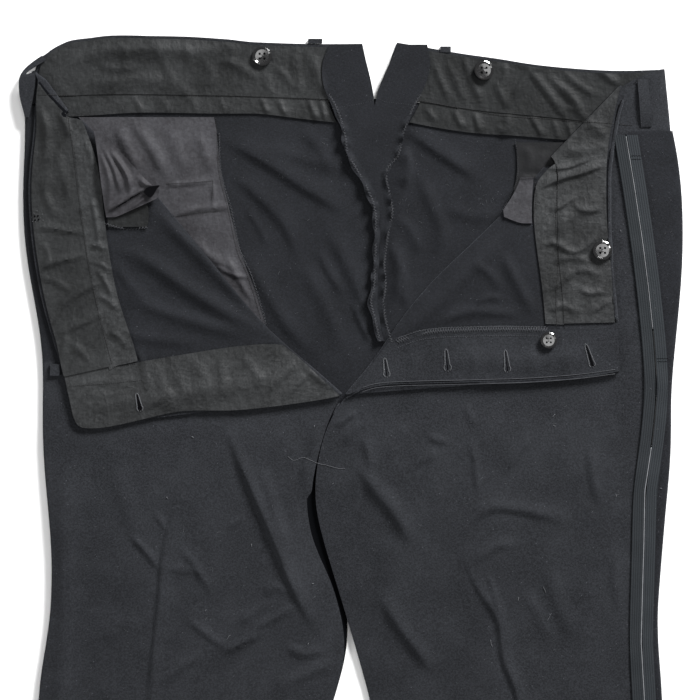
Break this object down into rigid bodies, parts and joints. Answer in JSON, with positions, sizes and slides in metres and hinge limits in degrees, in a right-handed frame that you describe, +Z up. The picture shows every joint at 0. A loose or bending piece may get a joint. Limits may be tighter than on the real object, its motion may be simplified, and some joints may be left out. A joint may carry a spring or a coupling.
{
  "type": "mess dress trousers",
  "caption": "Dark wool mess dress trousers laid flat, fly open and both fronts folded out to show the linings, with ribbed braid down the side seams.",
  "frame": {"origin": "under the middle of the laid-out trousers, on the surface they lie on", "axes": "+Z up, away from the surface; +Y from the hems to the waist; +X to the wearer's left"},
  "size_m": [0.5712, 1.116, 0.0161],
  "materials": {
    "wool": "matt milled wool barathea, very dark blue-black, with lint",
    "lining": "dark grey twill lining with a soft sheen, creased",
    "silesia": "grey-purple cotton silesia pocketing, soft sheen",
    "braid": "ribbed mohair braid, dark blue-grey, slight sheen",
    "button": "polished black, four holes"
  },
  "bodies": {
    "root": {"back_left": "wool", "back_right": "wool", "front_left": "wool", "front_right": "wool", "waistband_left": "wool", "waistband_right": "wool", "fly_facing_left": "wool", "inlay_left": "wool", "inlay_right": "wool", "pocket_facing_right": "wool", "loop_back_left": "wool", "loop_back_right": "wool", "loop_side_left": "wool", "loop_side_right": "wool", "loop_front_right": "wool", "lining_front_left": "lining", "lining_front_right": "lining", "lining_back_left": "lining", "lining_back_right": "lining", "curtain_back_left": "lining", "curtain_back_right": "lining", "curtain_front_left": "lining", "curtain_front_right": "lining", "fly_catch_right": "lining", "pocket_bag_left": "silesia", "pocket_bag_right": "silesia", "pocket_ply_left": "silesia", "pocket_ply_right": "silesia", "braid_front_left": "braid", "braid_back_left": "braid", "braid_front_right": "braid", "braid_back_right": "braid", "button_back_left": "button", "button_back_right": "button", "button_front_left": "button", "button_fly": "button"}
  },
  "joints": []
}
